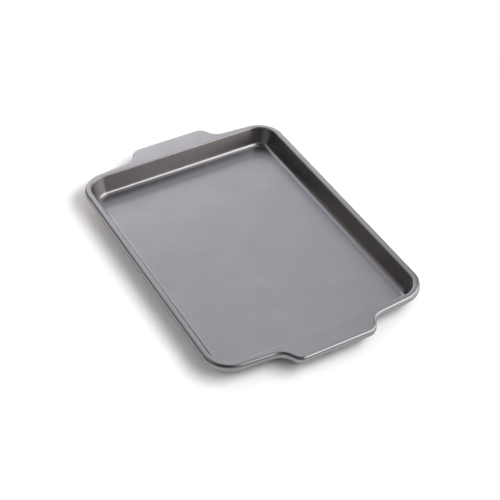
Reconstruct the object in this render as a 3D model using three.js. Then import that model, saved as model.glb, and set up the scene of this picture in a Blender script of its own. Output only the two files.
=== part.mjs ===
// Cookie sheet: a shallow drawn pan of coated sheet steel, whose edge is rolled round a stiffening wire.
// The lip widens at each end into a tab to lift the pan by, and the rolled rim follows the tabs' outline.
// Millimetres. X runs along the pan, Y across it, Z up from the surface that it stands on.

import * as THREE from 'three';

// Sheet and wire
const SHEET_GAUGE = 0.8;
const WIRE_DIAMETER = 2.5;
const WIRE_CLEARANCE = 0.3; // between the wire and the sheet rolled round it
const WIRE_BUTT_GAP = 1; // between the two ends of the wire

// Well, on the side that the food lies on
const WELL_LENGTH = 333; // at the mouth, where the level lip begins
const WELL_WIDTH = 241.8;
const WELL_DEPTH = 21;
const WALL_DRAFT = THREE.MathUtils.degToRad(20); // how far the walls lean out from upright
const FLOOR_CORNER_RADIUS = 12; // corner of the flat floor, seen from above
const FLOOR_FILLET = 6;
const MOUTH_FILLET = 1.8;

// Lip and tabs, seen from above
const SIDE_FLAT = 2.9; // level strip between the well and the rim's round, along the long sides
const END_FLAT = 0.3; // the same at the ends, on a line through the outline's corners
const END_SWELL = 5.8; // how much wider the end lip grows from its corners to the tab
const TAB_REACH = 18.2; // tab tip past the swollen end
const TAB_TIP_WIDTH = 90;
const TAB_SIDE_SPREAD = 10; // how much further out each side of the tab stands at its foot
const TAB_TIP_RADIUS = 13;
const TAB_FOOT_RADIUS = 17;

// Rolled rim, in section
const LIP_ROUND = 3.2; // turn from the level lip down into the skirt
const RIM_DROP = 7.8; // from the lip's top to the lowest point of the roll
const ROLL_END = THREE.MathUtils.degToRad(300); // how far the edge is rolled, from level

// Facets
const CORNER_STEPS = 8;
const TAB_CURVE_STEPS = 5;
const FLOOR_FILLET_STEPS = 5;
const MOUTH_FILLET_STEPS = 3;
const RIM_TURN_STEPS = 5;
const ROLL_STEPS = 8;
const WIRE_SIDES = 8;

const QUARTER_TURN = Math.PI / 2;
const FACING_UP = 1;
const FACING_DOWN = -1;

// Sizes that follow from those above
const lipTop = WELL_DEPTH + SHEET_GAUGE;
const wallTilt = QUARTER_TURN - WALL_DRAFT;
const filletRise = (FLOOR_FILLET + MOUTH_FILLET) * (1 - Math.cos(wallTilt));
const filletRun = (FLOOR_FILLET + MOUTH_FILLET) * Math.sin(wallTilt);
const wallInset = filletRun + (WELL_DEPTH - filletRise) * Math.tan(WALL_DRAFT);
const mouthCornerRadius = FLOOR_CORNER_RADIUS + wallInset;
const sideLip = SIDE_FLAT + LIP_ROUND;
const endLip = END_FLAT + LIP_ROUND;
const rimCornerRadius = mouthCornerRadius + sideLip;
const rollRadius = WIRE_DIAMETER / 2 + WIRE_CLEARANCE + SHEET_GAUGE;

// Points round a closed polygon with rounded corners, counter-clockwise from above.
// Each point carries the outline's outward normal, so that parallel outlines can be drawn from it.
function roundedOutline(corners) {
  return corners.flatMap(({ at, radius, steps }, i) => {
    const before = corners.at(i - 1).at;
    const after = corners[(i + 1) % corners.length].at;
    const arriving = at.clone().sub(before);
    const leaving = after.clone().sub(at);
    const turn = Math.atan2(arriving.cross(leaving), arriving.dot(leaving));
    const tangent = Math.tan(Math.abs(turn) / 2);
    const reach = Math.min(radius * tangent, arriving.length() / 2, leaving.length() / 2);
    const bend = (Math.sign(turn) * reach) / tangent;
    const start = at.clone().sub(arriving.clone().setLength(reach));
    const centre = start.addScaledVector(normalOf(arriving.angle()), -bend);
    return Array.from({ length: steps + 1 }, (_, step) => {
      const normal = normalOf(arriving.angle() + (turn * step) / steps);
      return { point: centre.clone().addScaledVector(normal, bend), normal };
    });
  });
}

// Outward normal of a counter-clockwise outline that runs along this heading
function normalOf(heading) {
  return new THREE.Vector2(Math.sin(heading), -Math.cos(heading));
}

// The same corners turned half a turn about the centre, for an outline whose ends are alike
function withOppositeEnd(corners) {
  const opposite = corners.map((corner) => ({ ...corner, at: corner.at.clone().negate() }));
  return [...corners, ...opposite];
}

function wellMouthOutline() {
  const corner = { radius: mouthCornerRadius, steps: CORNER_STEPS };
  return roundedOutline(withOppositeEnd([
    { ...corner, at: new THREE.Vector2(WELL_LENGTH / 2, -WELL_WIDTH / 2) },
    { ...corner, at: new THREE.Vector2(WELL_LENGTH / 2, WELL_WIDTH / 2) },
  ]));
}

function rimOutline() {
  const side = WELL_WIDTH / 2 + sideLip;
  const end = WELL_LENGTH / 2 + endLip;
  const swollenEnd = end + END_SWELL;
  const tabTip = TAB_TIP_WIDTH / 2;
  const tabFoot = tabTip + TAB_SIDE_SPREAD;
  const corner = { radius: rimCornerRadius, steps: CORNER_STEPS };
  const foot = { radius: TAB_FOOT_RADIUS, steps: TAB_CURVE_STEPS };
  const tip = { radius: TAB_TIP_RADIUS, steps: TAB_CURVE_STEPS };
  return roundedOutline(withOppositeEnd([
    { ...corner, at: new THREE.Vector2(end, -side) },
    { ...foot, at: new THREE.Vector2(swollenEnd, -tabFoot) },
    { ...tip, at: new THREE.Vector2(swollenEnd + TAB_REACH, -tabTip) },
    { ...tip, at: new THREE.Vector2(swollenEnd + TAB_REACH, tabTip) },
    { ...foot, at: new THREE.Vector2(swollenEnd, tabFoot) },
    { ...corner, at: new THREE.Vector2(end, side) },
  ]));
}

// An arc of a section drawn square to an outline: x is the distance outward from it and y is the height.
// Tilt turns from straight up towards outward. A negative radius puts the centre above the sheet.
function sectionArc(centre, radius, fromTilt, toTilt, steps) {
  return Array.from({ length: steps + 1 }, (_, step) => {
    const tilt = THREE.MathUtils.lerp(fromTilt, toTilt, step / steps);
    const square = new THREE.Vector2(Math.sin(tilt), Math.cos(tilt));
    return {
      upper: centre.clone().addScaledVector(square, radius),
      lower: centre.clone().addScaledVector(square, radius - SHEET_GAUGE),
    };
  });
}

// Up from the floor, over the drafted wall, to the level lip
function wallSection() {
  const floorCentre = new THREE.Vector2(-wallInset, SHEET_GAUGE + FLOOR_FILLET);
  const mouthCentre = new THREE.Vector2(0, lipTop - MOUTH_FILLET);
  return [
    ...sectionArc(floorCentre, -FLOOR_FILLET, 0, -wallTilt, FLOOR_FILLET_STEPS),
    ...sectionArc(mouthCentre, MOUTH_FILLET, -wallTilt, 0, MOUTH_FILLET_STEPS),
  ];
}

// Centre line of the roll, which is the wire's too
const rollCentre = new THREE.Vector2(-rollRadius, lipTop - RIM_DROP + rollRadius);

// Down from the lip, over the short skirt, and under round the wire
function rimSection() {
  const turnCentre = new THREE.Vector2(-LIP_ROUND, lipTop - LIP_ROUND);
  return [
    ...sectionArc(turnCentre, LIP_ROUND, 0, QUARTER_TURN, RIM_TURN_STEPS),
    ...sectionArc(rollCentre, rollRadius, QUARTER_TURN, ROLL_END, ROLL_STEPS),
  ];
}

// A closed surface put together from rows of shared vertices
class Skin {
  positions = [];
  triangles = [];

  // One section point carried along an outline
  row(outline, { x: out, y: height }) {
    return outline.map(({ point, normal }) => {
      const carried = point.clone().addScaledVector(normal, out);
      return this.positions.push(new THREE.Vector3(carried.x, carried.y, height)) - 1;
    });
  }

  // Strips of triangles from each row to the next, closed round the outline or open at its ends
  strips(rows, closed = true) {
    for (let r = 0; r + 1 < rows.length; r += 1) {
      const [row, next] = [rows[r], rows[r + 1]];
      for (let i = closed ? 0 : 1; i < row.length; i += 1) {
        const j = i > 0 ? i - 1 : row.length - 1;
        this.triangles.push([row[j], next[j], next[i]], [row[j], next[i], row[i]]);
      }
    }
  }

  // A level face inside one row, with another row as its hole if there is one
  levelFace(edge, facing, hole = []) {
    const vertices = [...edge, ...hole];
    const flat = vertices.map((v) => new THREE.Vector2(this.positions[v].x, this.positions[v].y));
    const holes = hole.length > 0 ? [flat.slice(edge.length)] : [];
    for (const [a, b, c] of THREE.ShapeUtils.triangulateShape(flat.slice(0, edge.length), holes)) {
      const side = flat[b].clone().sub(flat[a]).cross(flat[c].clone().sub(flat[a]));
      const rightWay = side * facing > 0;
      this.triangles.push([vertices[a], vertices[rightWay ? b : c], vertices[rightWay ? c : b]]);
    }
  }

  // A convex end face, fanned from its first vertex
  endFace(edge) {
    for (let i = 2; i < edge.length; i += 1) {
      this.triangles.push([edge[0], edge[i - 1], edge[i]]);
    }
  }

  geometry() {
    const geometry = new THREE.BufferGeometry().setFromPoints(this.positions);
    geometry.setIndex(this.triangles.flat());
    geometry.computeVertexNormals();
    return geometry;
  }
}

// The drawn pan: floor, walls, lip, tabs and rolled rim are one sheet with an upper and a lower side
function panBodyGeometry() {
  const skin = new Skin();
  const mouth = wellMouthOutline();
  const rim = rimOutline();
  const wall = wallSection();
  const roll = rimSection();

  const upperWall = wall.map(({ upper }) => skin.row(mouth, upper));
  const upperRoll = roll.map(({ upper }) => skin.row(rim, upper));
  skin.levelFace(upperWall[0], FACING_UP);
  skin.strips(upperWall);
  skin.levelFace(upperRoll[0], FACING_UP, upperWall.at(-1));
  skin.strips(upperRoll);

  const lowerWall = wall.map(({ lower }) => skin.row(mouth, lower));
  const lowerRoll = roll.map(({ lower }) => skin.row(rim, lower));
  skin.levelFace(lowerWall[0], FACING_DOWN);
  skin.strips(lowerWall.toReversed());
  skin.levelFace(lowerRoll[0], FACING_DOWN, lowerWall.at(-1));
  skin.strips(lowerRoll.toReversed());

  const cutEdge = [upperRoll.at(-1), lowerRoll.at(-1)];
  skin.strips(cutEdge);
  return skin.geometry();
}

// One length of round wire, lying in the roll, with its ends butted at the middle of a long side
function rimWireGeometry() {
  const skin = new Skin();
  const rim = rimOutline();
  const buttY = -WELL_WIDTH / 2 - sideLip;
  const buttEnd = (x) => ({ point: new THREE.Vector2(x, buttY), normal: new THREE.Vector2(0, -1) });
  const route = [buttEnd(WIRE_BUTT_GAP / 2), ...rim, buttEnd(-WIRE_BUTT_GAP / 2)];

  const rows = Array.from({ length: WIRE_SIDES }, (_, side) => {
    const tilt = (2 * Math.PI * side) / WIRE_SIDES;
    const square = new THREE.Vector2(Math.sin(tilt), Math.cos(tilt));
    return skin.row(route, rollCentre.clone().addScaledVector(square, WIRE_DIAMETER / 2));
  });
  skin.strips([...rows, rows[0]], false);
  skin.endFace(rows.map((row) => row[0]).toReversed());
  skin.endFace(rows.map((row) => row.at(-1)));
  return skin.geometry();
}

const coatedSteel = new THREE.MeshStandardMaterial({ color: 0x9b9a9e, roughness: 0.38, metalness: 0.8 });
const bareWire = new THREE.MeshStandardMaterial({ color: 0xb4b6b8, roughness: 0.35, metalness: 1 });

const panBody = new THREE.Mesh(panBodyGeometry(), coatedSteel);
panBody.name = 'pan_body';

const rimWire = new THREE.Mesh(rimWireGeometry(), bareWire);
rimWire.name = 'rim_wire';

const cookieSheet = new THREE.Group();
cookieSheet.add(panBody, rimWire);

export default cookieSheet;
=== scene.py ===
import math

import bmesh
import bpy
from mathutils import Matrix, Vector


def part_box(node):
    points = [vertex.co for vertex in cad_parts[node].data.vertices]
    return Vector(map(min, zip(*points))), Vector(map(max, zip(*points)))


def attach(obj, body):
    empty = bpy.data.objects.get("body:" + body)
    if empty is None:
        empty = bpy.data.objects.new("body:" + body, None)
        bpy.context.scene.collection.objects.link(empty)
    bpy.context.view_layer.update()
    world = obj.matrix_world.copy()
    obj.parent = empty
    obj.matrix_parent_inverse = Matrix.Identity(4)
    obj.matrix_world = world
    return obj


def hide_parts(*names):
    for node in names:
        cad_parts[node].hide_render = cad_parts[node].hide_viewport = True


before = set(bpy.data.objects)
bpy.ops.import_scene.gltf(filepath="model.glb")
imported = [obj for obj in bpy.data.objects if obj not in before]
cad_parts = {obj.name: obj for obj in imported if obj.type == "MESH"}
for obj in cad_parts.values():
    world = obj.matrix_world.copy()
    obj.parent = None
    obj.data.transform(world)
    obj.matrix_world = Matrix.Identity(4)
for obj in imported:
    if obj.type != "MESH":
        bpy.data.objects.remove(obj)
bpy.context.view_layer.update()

# Rim wire
# A bare drawn steel wire that stiffens the pan. The sheet's edge is rolled round it, so only a sliver
# of it shows, under the lip, above the roll's cut edge.

WIRE_COLOUR = (0.50, 0.49, 0.47, 1.0)
WIRE_SMOOTHEST = 0.28
WIRE_ROUGHEST = 0.5
DIE_MARKS_PER_METRE = 1800.0
DIE_MARK_DETAIL = 3.0


def new_material(name):
    """A node material, with its shader and its Object coordinates."""
    material = bpy.data.materials.new(name)
    material.use_nodes = True
    nodes = material.node_tree.nodes
    coordinates = nodes.new("ShaderNodeTexCoord").outputs["Object"]
    return material, nodes["Principled BSDF"], coordinates


def set_inputs(node, **inputs):
    """Gives each named input of a node its value, or links a socket to it."""
    for name, value in inputs.items():
        socket = node.inputs[name.replace("_", " ")]
        if isinstance(value, bpy.types.NodeSocket):
            node.id_data.links.new(value, socket)
        else:
            socket.default_value = value


def add_node(shader, kind, settings=(), **inputs):
    """Adds a node beside a shader, with its settings and inputs by name."""
    node = shader.id_data.nodes.new(kind)
    for name, value in dict(settings).items():
        setattr(node, name, value)
    set_inputs(node, **inputs)
    return node


wire_steel, wire_shader, wire_place = new_material("drawn_steel_wire")
die_marks = add_node(
    wire_shader, "ShaderNodeTexNoise",
    Vector=wire_place, Scale=DIE_MARKS_PER_METRE, Detail=DIE_MARK_DETAIL,
)
wire_gloss = add_node(
    wire_shader, "ShaderNodeMapRange",
    Value=die_marks.outputs["Fac"], To_Min=WIRE_SMOOTHEST, To_Max=WIRE_ROUGHEST,
)
set_inputs(wire_shader, Metallic=1.0, Base_Color=WIRE_COLOUR, Roughness=wire_gloss.outputs["Result"])

rim_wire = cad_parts["rim_wire"]
rim_wire.data.materials.clear()
rim_wire.data.materials.append(wire_steel)

# Pan
# One blank of 0.8 mm sheet steel, drawn into a shallow well with sloping walls and a level lip. The lip
# widens into a tab at each end, and the edge is turned down and rolled under, all along the outline.

MM = 0.001
GAUGE = 0.8 * MM
WELL_LENGTH = 333 * MM
WELL_WIDTH = 241.8 * MM
WALL_DRAFT = math.radians(20)
FLOOR_CORNER_RADIUS = 12 * MM
FLOOR_FILLET = 6 * MM
MOUTH_FILLET = 1.8 * MM
SIDE_FLAT = 2.9 * MM
END_FLAT = 0.3 * MM
END_SWELL = 5.8 * MM
TAB_TIP_WIDTH = 90 * MM
TAB_SIDE_SPREAD = 10 * MM
TAB_TIP_RADIUS = 13 * MM
TAB_FOOT_RADIUS = 17 * MM
LIP_ROUND = 3.2 * MM
RIM_DROP = 7.8 * MM
ROLL_RADIUS = 2.35 * MM
ROLL_END = math.radians(300)
OUTLINE_STEP = math.radians(4)
FLOOR_FILLET_STEPS = 12
MOUTH_FILLET_STEPS = 8
LIP_ROUND_STEPS = 12
ROLL_STEPS = 20

pan_low, pan_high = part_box("pan_body")
lip_top = pan_high.z
floor_top = pan_low.z + GAUGE
wall_tilt = math.pi / 2 - WALL_DRAFT
fillets = FLOOR_FILLET + MOUTH_FILLET
wall_rise = lip_top - floor_top - fillets * (1 - math.cos(wall_tilt))
wall_inset = fillets * math.sin(wall_tilt) + wall_rise * math.tan(WALL_DRAFT)
mouth_corner = FLOOR_CORNER_RADIUS + wall_inset
lip_side = WELL_WIDTH / 2 + SIDE_FLAT + LIP_ROUND
lip_end = WELL_LENGTH / 2 + END_FLAT + LIP_ROUND
rim_corner = mouth_corner + SIDE_FLAT + LIP_ROUND
roll_height = lip_top - RIM_DROP + ROLL_RADIUS

# Corner points and radii of the two outlines, for one end of the pan. The other end is the same, turned.
mouth_end = [
    (Vector((WELL_LENGTH / 2, -WELL_WIDTH / 2)), mouth_corner),
    (Vector((WELL_LENGTH / 2, WELL_WIDTH / 2)), mouth_corner),
]
tab_half = TAB_TIP_WIDTH / 2
rim_end = [
    (Vector((lip_end, -lip_side)), rim_corner),
    (Vector((lip_end + END_SWELL, -tab_half - TAB_SIDE_SPREAD)), TAB_FOOT_RADIUS),
    (Vector((pan_high.x, -tab_half)), TAB_TIP_RADIUS),
    (Vector((pan_high.x, tab_half)), TAB_TIP_RADIUS),
    (Vector((lip_end + END_SWELL, tab_half + TAB_SIDE_SPREAD)), TAB_FOOT_RADIUS),
    (Vector((lip_end, lip_side)), rim_corner),
]


def draw_outline(bm, end, outset, height):
    """Draws a closed outline of straights and arcs, and returns its edges.

    Its arcs keep their centres at any outset, so that all outlines of one end run parallel.
    """
    corners = end + [(-corner, radius) for corner, radius in end]
    edges, firsts, lasts = [], [], []
    for i, (corner, radius) in enumerate(corners):
        arriving = (corner - corners[i - 1][0]).normalized()
        leaving = (corners[(i + 1) % len(corners)][0] - corner).normalized()
        turn = -arriving.angle_signed(leaving)
        bend = math.copysign(radius, turn)
        normal = Vector((arriving.y, -arriving.x))
        centre = corner - arriving * radius * math.tan(abs(turn) / 2) - normal * bend
        first = bm.verts.new((*(centre + normal * (bend + outset)), height))
        steps = round(abs(turn) / OUTLINE_STEP)
        spun = bmesh.ops.spin(
            bm, geom=[first], cent=(*centre, height), axis=(0, 0, 1), angle=turn, steps=steps,
        )
        bm.edges.ensure_lookup_table()
        edges += bm.edges[-steps:]
        firsts.append(first)
        lasts.append(spun["geom_last"][0])
    edges += [bm.edges.new(straight) for straight in zip(lasts, firsts[1:] + firsts[:1])]
    return edges


def section_arc(out, height, radius, from_tilt, to_tilt, steps):
    """Points along an arc of the sheet's section, as pairs of distance out and height."""
    tilts = [from_tilt + (to_tilt - from_tilt) * step / steps for step in range(steps + 1)]
    return [(out + radius * math.sin(tilt), height + radius * math.cos(tilt)) for tilt in tilts]


def sweep(bm, end, section):
    """Carries a section along an outline, and returns the edge loop at each point of the section."""
    loops = [draw_outline(bm, end, out, height) for out, height in section]
    for loop, following in zip(loops, loops[1:]):
        bmesh.ops.bridge_loops(bm, edges=loop + following)
    return loops


def add_object(name, data):
    """Puts a mesh, lamp or camera into the scene."""
    added = bpy.data.objects.new(name, data)
    bpy.context.scene.collection.objects.link(added)
    return added


def add_mesh(name, bm):
    """Puts a finished bmesh into the scene."""
    mesh = bpy.data.meshes.new(name)
    bm.to_mesh(mesh)
    bm.free()
    return add_object(name, mesh)


# The sheet's upper side in section: up the wall from floor to lip, then over the lip and round the roll.
wall_section = [
    *section_arc(-wall_inset, floor_top + FLOOR_FILLET, -FLOOR_FILLET, 0, -wall_tilt, FLOOR_FILLET_STEPS),
    *section_arc(0, lip_top - MOUTH_FILLET, MOUTH_FILLET, -wall_tilt, 0, MOUTH_FILLET_STEPS),
]
rim_section = [
    *section_arc(-LIP_ROUND, lip_top - LIP_ROUND, LIP_ROUND, 0, math.pi / 2, LIP_ROUND_STEPS),
    *section_arc(-ROLL_RADIUS, roll_height, ROLL_RADIUS, math.pi / 2, ROLL_END, ROLL_STEPS),
]
bm = bmesh.new()
wall_loops = sweep(bm, mouth_end, wall_section)
rim_loops = sweep(bm, rim_end, rim_section)

# The flat floor fills the foot of the wall, and the flat lip lies between the mouth and the rim.
bmesh.ops.edgeloop_fill(bm, edges=wall_loops[0])
bmesh.ops.triangle_fill(bm, edges=wall_loops[-1] + rim_loops[0], use_beauty=True, use_dissolve=False)

# The widest face, the floor, has to look up before the sheet gets its thickness.
bmesh.ops.recalc_face_normals(bm, faces=bm.faces)
widest = max(bm.faces, key=lambda face: face.calc_area())
if widest.normal.z < 0:
    bmesh.ops.reverse_faces(bm, faces=bm.faces)
bmesh.ops.solidify(bm, geom=bm.faces[:], thickness=GAUGE)
for face in bm.faces:
    face.smooth = True
pan = add_mesh("pan", bm)
pan.modifiers.new("even_shading", "WEIGHTED_NORMAL")

# The coating is a grey metallic film: fine flakes in it glint, its shade drifts a little over the sheet,
# and it dries with a faint orange peel.
FILM_DARK = (0.254, 0.246, 0.256, 1.0)
FILM_LIGHT = (0.304, 0.295, 0.307, 1.0)
FILM_DARK_BELOW = 0.25
FILM_LIGHT_ABOVE = 0.75
FILM_SMOOTHEST = 0.28
FILM_ROUGHEST = 0.32
CLOUD_SIZE = 40 * MM
CLOUD_DETAIL = 4.0
CLOUD_ROUGHNESS = 0.6
FLAKE_SIZE = 0.45 * MM
FLAKE_SHARE = 0.35
PEEL_SIZE = 1.4 * MM
PEEL_DETAIL = 1.0
PEEL_HEIGHT = 0.004 * MM

nonstick, coat, coat_place = new_material("nonstick_coating")
clouds = add_node(
    coat, "ShaderNodeTexNoise",
    Vector=coat_place, Scale=1 / CLOUD_SIZE, Detail=CLOUD_DETAIL, Roughness=CLOUD_ROUGHNESS,
)
flakes = add_node(coat, "ShaderNodeTexVoronoi", Vector=coat_place, Scale=1 / FLAKE_SIZE)
glint = add_node(coat, "ShaderNodeSeparateColor", Color=flakes.outputs["Color"])
film = add_node(
    coat, "ShaderNodeMix",
    A=clouds.outputs["Fac"], B=glint.outputs["Red"], Factor=FLAKE_SHARE,
)
shade = add_node(coat, "ShaderNodeValToRGB", Fac=film.outputs["Result"])
dark, light = shade.color_ramp.elements
dark.position = FILM_DARK_BELOW
dark.color = FILM_DARK
light.position = FILM_LIGHT_ABOVE
light.color = FILM_LIGHT
satin = add_node(
    coat, "ShaderNodeMapRange",
    Value=clouds.outputs["Fac"], To_Min=FILM_SMOOTHEST, To_Max=FILM_ROUGHEST,
)
peel = add_node(coat, "ShaderNodeTexNoise", Vector=coat_place, Scale=1 / PEEL_SIZE, Detail=PEEL_DETAIL)
skin = add_node(coat, "ShaderNodeBump", Height=peel.outputs["Fac"], Distance=PEEL_HEIGHT)
set_inputs(
    coat, Metallic=1.0, Base_Color=shade.outputs["Color"],
    Roughness=satin.outputs["Result"], Normal=skin.outputs["Normal"],
)
pan.data.materials.append(nonstick)
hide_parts("pan_body")
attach(pan, "root")

# Floor
# A plain white table top that the pan stands on. It isn't part of the object. It is white to the camera
# and in reflections, it keeps the pan's shadow, and far from the pan it runs out into plain white.

FLOOR_SIZE = 60.0
TABLE_GREY = 0.9
TABLE_WHITE = 0.95
TABLE_ROUGHNESS = 0.9
SHADOW_REACH = 0.32
WHITE_FROM = 0.46
WHITE_GLOW = (1.0, 1.0, 1.0, 1.0)


def add_math(shader, operation, first, second):
    """Adds a node that works out one value from two sockets, and returns its result."""
    node = add_node(shader, "ShaderNodeMath", {"operation": operation})
    shader.id_data.links.new(first, node.inputs[0])
    shader.id_data.links.new(second, node.inputs[1])
    return node.outputs["Value"]


bm = bmesh.new()
bmesh.ops.create_grid(bm, x_segments=1, y_segments=1, size=FLOOR_SIZE / 2)
bmesh.ops.translate(bm, verts=bm.verts, vec=(0, 0, pan_low.z))
floor = add_mesh("floor", bm)

# Light bounces off a slightly greyer table than the one that the camera and reflections see.
white_top, top_shader, top_place = new_material("white_table_top")
ray = add_node(top_shader, "ShaderNodeLightPath").outputs
seen = add_math(top_shader, "MAXIMUM", ray["Is Camera Ray"], ray["Is Glossy Ray"])
seen = add_math(top_shader, "MAXIMUM", seen, ray["Is Transmission Ray"])
from_pan = add_node(top_shader, "ShaderNodeVectorMath", {"operation": "LENGTH"}, Vector=top_place)
far = add_node(
    top_shader, "ShaderNodeMapRange", {"interpolation_type": "SMOOTHSTEP"},
    Value=from_pan.outputs["Value"], From_Min=SHADOW_REACH, From_Max=WHITE_FROM,
)
near_white = add_node(
    top_shader, "ShaderNodeMapRange",
    Value=far.outputs["Result"], To_Min=TABLE_WHITE, To_Max=0.0,
)
top_colour = add_node(
    top_shader, "ShaderNodeMix",
    A=TABLE_GREY, B=near_white.outputs["Result"], Factor=seen,
)
set_inputs(
    top_shader, Base_Color=top_colour.outputs["Result"], Roughness=TABLE_ROUGHNESS,
    Specular_IOR_Level=0.0, Emission_Color=WHITE_GLOW,
    Emission_Strength=add_math(top_shader, "MULTIPLY", seen, far.outputs["Result"]),
)
floor.data.materials.append(white_top)

# Studio light
# Soft boxes round a dark room. The main ones stand on the pan's right side and behind it, and a dim one
# fills in from the front. Most are flagged off the table or off the pan.

LAMP_DISTANCE = 1.8
WARM = (1.09, 0.98, 0.92)
COOL = (0.97, 0.98, 1.06)
pan_alone = bpy.data.collections.new("lit_without_table")
pan_alone.objects.link(pan)
pan_alone.objects.link(rim_wire)
table_alone = bpy.data.collections.new("lit_without_pan")
table_alone.objects.link(floor)


def soft_box(name, azimuth, elevation, half_width, half_height, radiance, colour=(1, 1, 1), lights=None):
    """A lamp that faces the pan, with its direction and half sizes in degrees as seen from the pan.

    Its radiance is the brightness that a mirror would show it with.
    """
    lamp = bpy.data.lights.new(name, "AREA")
    lamp.shape = "RECTANGLE"
    lamp.size = 2 * LAMP_DISTANCE * math.tan(math.radians(half_width))
    lamp.size_y = 2 * LAMP_DISTANCE * math.tan(math.radians(half_height))
    lamp.energy = radiance * math.pi * lamp.size * lamp.size_y
    lamp.color = colour
    box = add_object(name, lamp)
    raised = Matrix.Rotation(math.radians(-elevation), 3, "Y") @ Vector((LAMP_DISTANCE, 0, 0))
    box.location = Matrix.Rotation(math.radians(azimuth), 3, "Z") @ raised
    box.rotation_euler = (-box.location).to_track_quat("-Z", "Y").to_euler()
    box.visible_camera = False
    box.light_linking.receiver_collection = lights


soft_box("right_high", 62, 48, 32, 8, 3.5)
soft_box("right_middle", 66, 30, 28, 8, 2.6, lights=pan_alone)
soft_box("right_low", 65, 10, 45, 8.5, 1.9, WARM, pan_alone)
soft_box("front_right", 30, 53, 14, 12, 2.1, lights=pan_alone)
soft_box("top_right", 45, 64, 16, 7, 1.0)
soft_box("top_back", 125, 62, 16, 8, 1.2)
soft_box("back_high", 167, 46, 27, 10, 1.15, COOL)
soft_box("back_strip", 174, 24.5, 17, 8.5, 3.5, lights=pan_alone)
soft_box("back_right", 144, 22.5, 14, 9, 2.1, lights=pan_alone)
soft_box("left_high", 240, 47, 24, 8, 1.1, lights=pan_alone)
soft_box("left_low", 226, 5, 13, 5, 1.6, WARM, pan_alone)
soft_box("front_fill", 318, 32, 45, 16, 0.27, WARM, pan_alone)
soft_box("table_right", 40, 48, 32, 12, 5.0, lights=table_alone)
soft_box("table_back", 180, 15, 26, 11, 5.5, WARM, table_alone)
soft_box("table_left", 272, 40, 30, 14, 1.8, lights=table_alone)

world = bpy.data.worlds.new("studio")
bpy.context.scene.world = world
world.use_nodes = True
world.node_tree.nodes["Background"].inputs["Strength"].default_value = 0.0

# Camera
# Where the photograph was taken from: above one end of the pan and to one side, looking down. From here
# the pan's outline falls where the photograph has it.

SENSOR_WIDTH = 36.0
FRAME_PIXELS = 500
FOCAL_PIXELS = 1284.6
PLACE_ABOVE_LIP = Vector((929.78, -514.94, 920.77)) * MM
HEADING = math.radians(60.76)
LOOK_DOWN = math.radians(41.681)
ROLL = math.radians(0.381)

camera_data = bpy.data.cameras.new("camera")
camera_data.sensor_width = SENSOR_WIDTH
camera_data.lens = SENSOR_WIDTH * FOCAL_PIXELS / FRAME_PIXELS
camera = add_object("camera", camera_data)
camera.matrix_world = (
    Matrix.Translation(PLACE_ABOVE_LIP + Vector((0, 0, lip_top)))
    @ Matrix.Rotation(HEADING, 4, "Z")
    @ Matrix.Rotation(math.pi / 2 - LOOK_DOWN, 4, "X")
    @ Matrix.Rotation(ROLL, 4, "Z")
)
bpy.context.scene.camera = camera
bpy.context.scene.view_settings.view_transform = "Standard"
